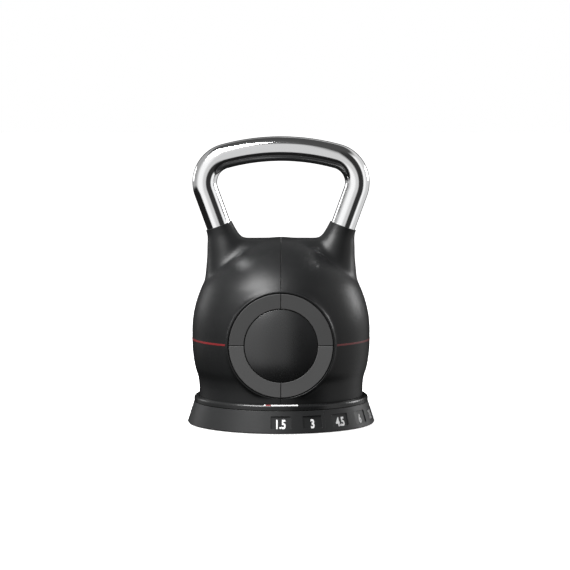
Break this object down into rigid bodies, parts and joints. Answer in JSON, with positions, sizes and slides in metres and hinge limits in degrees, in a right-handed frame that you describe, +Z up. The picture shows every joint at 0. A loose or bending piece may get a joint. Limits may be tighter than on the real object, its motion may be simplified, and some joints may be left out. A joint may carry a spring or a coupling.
{
  "type": "adjustable kettlebell",
  "caption": "Adjustable kettlebell: chrome tube handle on a black bell that picks up steel plates from a round numbered dial base.",
  "frame": {"origin": "on the central axis, at the level that the rubber foot ring stands on", "axes": "+Z up along the dial's axis and through the middle of the grip, +X to the right along the grip, -Y out of the front, where the selected number stands"},
  "size_m": [0.1978, 0.1978, 0.3024],
  "materials": {
    "shell_plastic": "satin, very fine texture",
    "base_plastic": "matte moulded",
    "collar_plastic": "semi-gloss moulded",
    "dial_plastic": "satin moulded",
    "ring_grey": "fine matte texture",
    "cap_gloss": "satin gloss",
    "accent_red": "smooth",
    "marking_white": "printed or moulded white",
    "handle_chrome": "polished chrome plate",
    "spindle_steel": "zinc plated, turned",
    "screw_steel": "zinc plated",
    "spring_steel": "drawn wire and strip",
    "plate_iron": "black powder coat on steel",
    "bush_brass": "turned",
    "white_nylon": "natural nylon",
    "foot_rubber": "matte"
  },
  "bodies": {
    "base": {"bottom_cover": "base_plastic", "base_screws": "screw_steel", "foot_ring": "foot_rubber", "thrust_washer": "white_nylon", "base_tray": "base_plastic", "base_collar": "collar_plastic", "indicator_bar_red": "accent_red", "indicator_bar_white": "marking_white", "tray_pad": "foot_rubber", "guide_posts": "spindle_steel", "detent_spring": "spring_steel"},
    "dial": {"dial_ring": "dial_plastic", "drive_plate": "spindle_steel", "drive_hub": "white_nylon", "dial_screws": "screw_steel", "hub_screws": "screw_steel"},
    "detent": {"detent_plunger": "white_nylon"},
    "plate_7": {"weight_plate_7": "plate_iron"},
    "plate_6": {"weight_plate_6": "plate_iron"},
    "plate_5": {"weight_plate_5": "plate_iron"},
    "plate_4": {"weight_plate_4": "plate_iron"},
    "plate_3": {"weight_plate_3": "plate_iron"},
    "plate_2": {"weight_plate_2": "plate_iron"},
    "plate_1": {"weight_plate_1": "plate_iron"},
    "bell": {"handle_tube": "handle_chrome", "handle_plugs": "spindle_steel", "handle_bolts": "screw_steel", "bolt_washers": "screw_steel", "bridge_screws": "screw_steel", "carrier_bridge": "spindle_steel", "spindle_bush": "bush_brass", "wave_washer": "spring_steel", "shell_screws": "screw_steel", "shell_right": "shell_plastic", "shell_left": "shell_plastic", "accent_band_right": "accent_red", "accent_band_left": "accent_red", "back_dome_cap": "cap_gloss", "back_ring_carrier": "base_plastic", "back_ring_segment_1": "ring_grey", "back_ring_segment_2": "ring_grey", "back_ring_segment_3": "ring_grey", "back_ring_segment_4": "ring_grey", "front_dome_cap": "cap_gloss", "front_ring_carrier": "base_plastic", "front_ring_segment_1": "ring_grey", "front_ring_segment_2": "ring_grey", "front_ring_segment_3": "ring_grey", "front_ring_segment_4": "ring_grey"},
    "spindle": {"spindle_shaft": "spindle_steel", "spindle_spacers": "white_nylon", "spindle_nut": "screw_steel", "selector_disc_1": "spindle_steel", "selector_disc_2": "spindle_steel", "selector_disc_3": "spindle_steel", "selector_disc_4": "spindle_steel", "selector_disc_5": "spindle_steel", "selector_disc_6": "spindle_steel", "selector_disc_7": "spindle_steel"}
  },
  "joints": [
    {"name": "dial_turn", "type": "hinge", "parent": "base", "child": "dial", "pos_m": [0, 0, 0.012], "axis": [0, 0, -1], "range_deg": [0, 140]},
    {"name": "detent_push", "type": "slide", "parent": "base", "child": "detent", "axis": [0, -1, 0], "range_m": [0, 0.0015], "deforming": ["detent_spring"]},
    {"name": "lift_with_7_plates", "type": "slide", "parent": "base", "child": "plate_7", "axis": [0, 0, 1], "range_m": [0, 0.027]},
    {"name": "lift_with_6_plates", "type": "slide", "parent": "plate_7", "child": "plate_6", "axis": [0, 0, 1], "range_m": [0, 0.021]},
    {"name": "lift_with_5_plates", "type": "slide", "parent": "plate_6", "child": "plate_5", "axis": [0, 0, 1], "range_m": [0, 0.035]},
    {"name": "lift_with_4_plates", "type": "slide", "parent": "plate_5", "child": "plate_4", "axis": [0, 0, 1], "range_m": [0, 0.049]},
    {"name": "lift_with_3_plates", "type": "slide", "parent": "plate_4", "child": "plate_3", "axis": [0, 0, 1], "range_m": [0, 0.063]},
    {"name": "lift_with_2_plates", "type": "slide", "parent": "plate_3", "child": "plate_2", "axis": [0, 0, 1], "range_m": [0, 0.077]},
    {"name": "lift_with_1_plate", "type": "slide", "parent": "plate_2", "child": "plate_1", "axis": [0, 0, 1], "range_m": [0, 0.091]},
    {"name": "lift_bell_alone", "type": "slide", "parent": "plate_1", "child": "bell", "axis": [0, 0, 1], "range_m": [0, 0.105]},
    {"name": "spindle_turn", "type": "hinge", "parent": "bell", "child": "spindle", "pos_m": [0, 0, 0.13], "axis": [0, 0, -1], "range_deg": [0, 140]}
  ],
  "couplings": [
    {"joint": "spindle_turn", "follows": "dial_turn", "ratio": 1}
  ]
}
